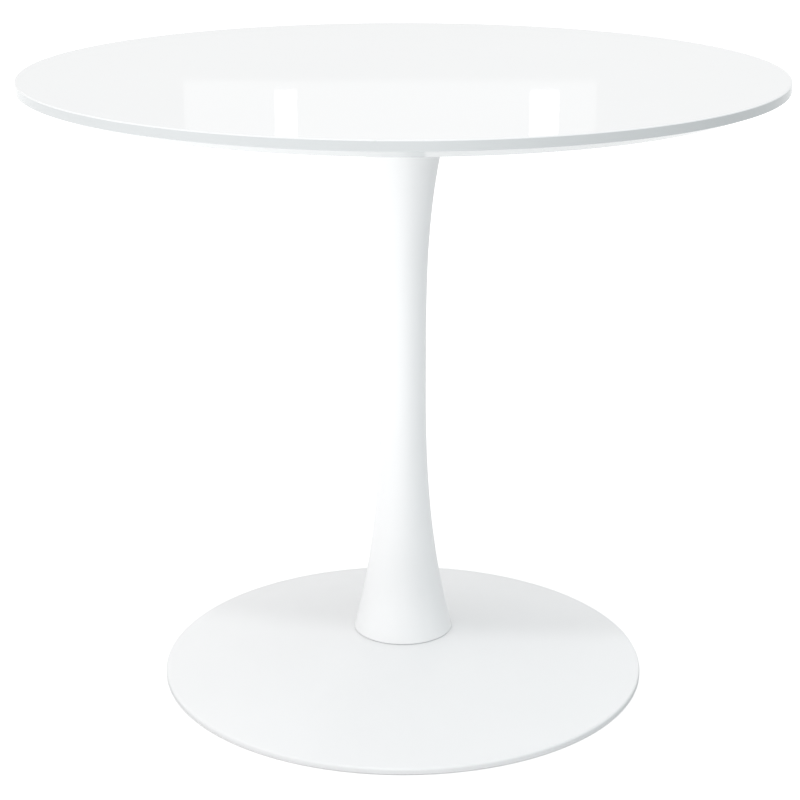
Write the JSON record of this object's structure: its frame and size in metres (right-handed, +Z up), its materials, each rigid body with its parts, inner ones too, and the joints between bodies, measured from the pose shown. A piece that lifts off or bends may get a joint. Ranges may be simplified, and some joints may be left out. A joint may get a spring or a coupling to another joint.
{
  "type": "round pedestal table",
  "caption": "Round pedestal table: gloss top with a bevelled edge on a slender flared column, clamped by a tie rod to a shallow domed disc base with levelling glides.",
  "frame": {"origin": "centre of the footprint, on the floor under the column's axis", "axes": "+Z up along the column's axis; +X and +Y level, each midway between two glides"},
  "size_m": [0.8999, 0.9, 0.762],
  "materials": {
    "gloss_lacquer": "high-gloss white lacquer on fibreboard",
    "white_powder_coat": "satin white powder coat on steel",
    "black_powder_coat": "satin black powder coat",
    "zinc_bright": "bright zinc plate",
    "zinc_yellow": "yellow passivated zinc plate",
    "plain_steel": "turned steel, oiled",
    "spring_steel": "blackened spring steel",
    "cast_iron_primed": "as cast, grey primer",
    "gasket_grey": "pale grey polyethylene",
    "nylon_grey": "moulded nylon, fine texture"
  },
  "bodies": {
    "root": {"table_top": "gloss_lacquer", "insert_nuts": "zinc_yellow", "mounting_plate": "black_powder_coat", "plate_screws": "zinc_bright", "plate_washers": "zinc_bright", "rod_socket": "black_powder_coat", "upper_locating_ring": "black_powder_coat", "column": "white_powder_coat", "tie_rod": "zinc_bright", "lower_locating_disc": "plain_steel", "foot_gasket": "gasket_grey", "base_shell": "white_powder_coat", "ballast_plate": "cast_iron_primed", "shell_studs": "zinc_bright", "stud_washers": "zinc_bright", "stud_nuts": "zinc_bright", "clamp_washer": "zinc_bright", "clamp_spring_washer": "spring_steel", "clamp_nut": "zinc_bright", "glide_inserts": "zinc_yellow"},
    "glide_pad_1": {"glide_pad_1": "nylon_grey"},
    "glide_stem_1": {"glide_stem_1": "zinc_bright"},
    "glide_pad_2": {"glide_pad_2": "nylon_grey"},
    "glide_stem_2": {"glide_stem_2": "zinc_bright"},
    "glide_pad_3": {"glide_pad_3": "nylon_grey"},
    "glide_stem_3": {"glide_stem_3": "zinc_bright"},
    "glide_pad_4": {"glide_pad_4": "nylon_grey"},
    "glide_stem_4": {"glide_stem_4": "zinc_bright"}
  },
  "joints": [
    {"name": "glide_1_travel", "type": "slide", "parent": "root", "child": "glide_pad_1", "axis": [0, 0, -1], "range_m": [0, 0.0063]},
    {"name": "glide_1_turn", "type": "hinge", "parent": "glide_pad_1", "child": "glide_stem_1", "pos_m": [0.16971, 0.16971, 0.01], "axis": [0, 0, -1], "range_deg": [0, 1800]},
    {"name": "glide_2_travel", "type": "slide", "parent": "root", "child": "glide_pad_2", "axis": [0, 0, -1], "range_m": [0, 0.0063]},
    {"name": "glide_2_turn", "type": "hinge", "parent": "glide_pad_2", "child": "glide_stem_2", "pos_m": [-0.16971, 0.16971, 0.01], "axis": [0, 0, -1], "range_deg": [0, 1800]},
    {"name": "glide_3_travel", "type": "slide", "parent": "root", "child": "glide_pad_3", "axis": [0, 0, -1], "range_m": [0, 0.0063]},
    {"name": "glide_3_turn", "type": "hinge", "parent": "glide_pad_3", "child": "glide_stem_3", "pos_m": [-0.16971, -0.16971, 0.01], "axis": [0, 0, -1], "range_deg": [0, 1800]},
    {"name": "glide_4_travel", "type": "slide", "parent": "root", "child": "glide_pad_4", "axis": [0, 0, -1], "range_m": [0, 0.0063]},
    {"name": "glide_4_turn", "type": "hinge", "parent": "glide_pad_4", "child": "glide_stem_4", "pos_m": [0.16971, -0.16971, 0.01], "axis": [0, 0, -1], "range_deg": [0, 1800]}
  ],
  "couplings": [
    {"joint": "glide_1_travel", "follows": "glide_1_turn", "m_per_rad": 0.00019894},
    {"joint": "glide_2_travel", "follows": "glide_2_turn", "m_per_rad": 0.00019894},
    {"joint": "glide_3_travel", "follows": "glide_3_turn", "m_per_rad": 0.00019894},
    {"joint": "glide_4_travel", "follows": "glide_4_turn", "m_per_rad": 0.00019894}
  ]
}
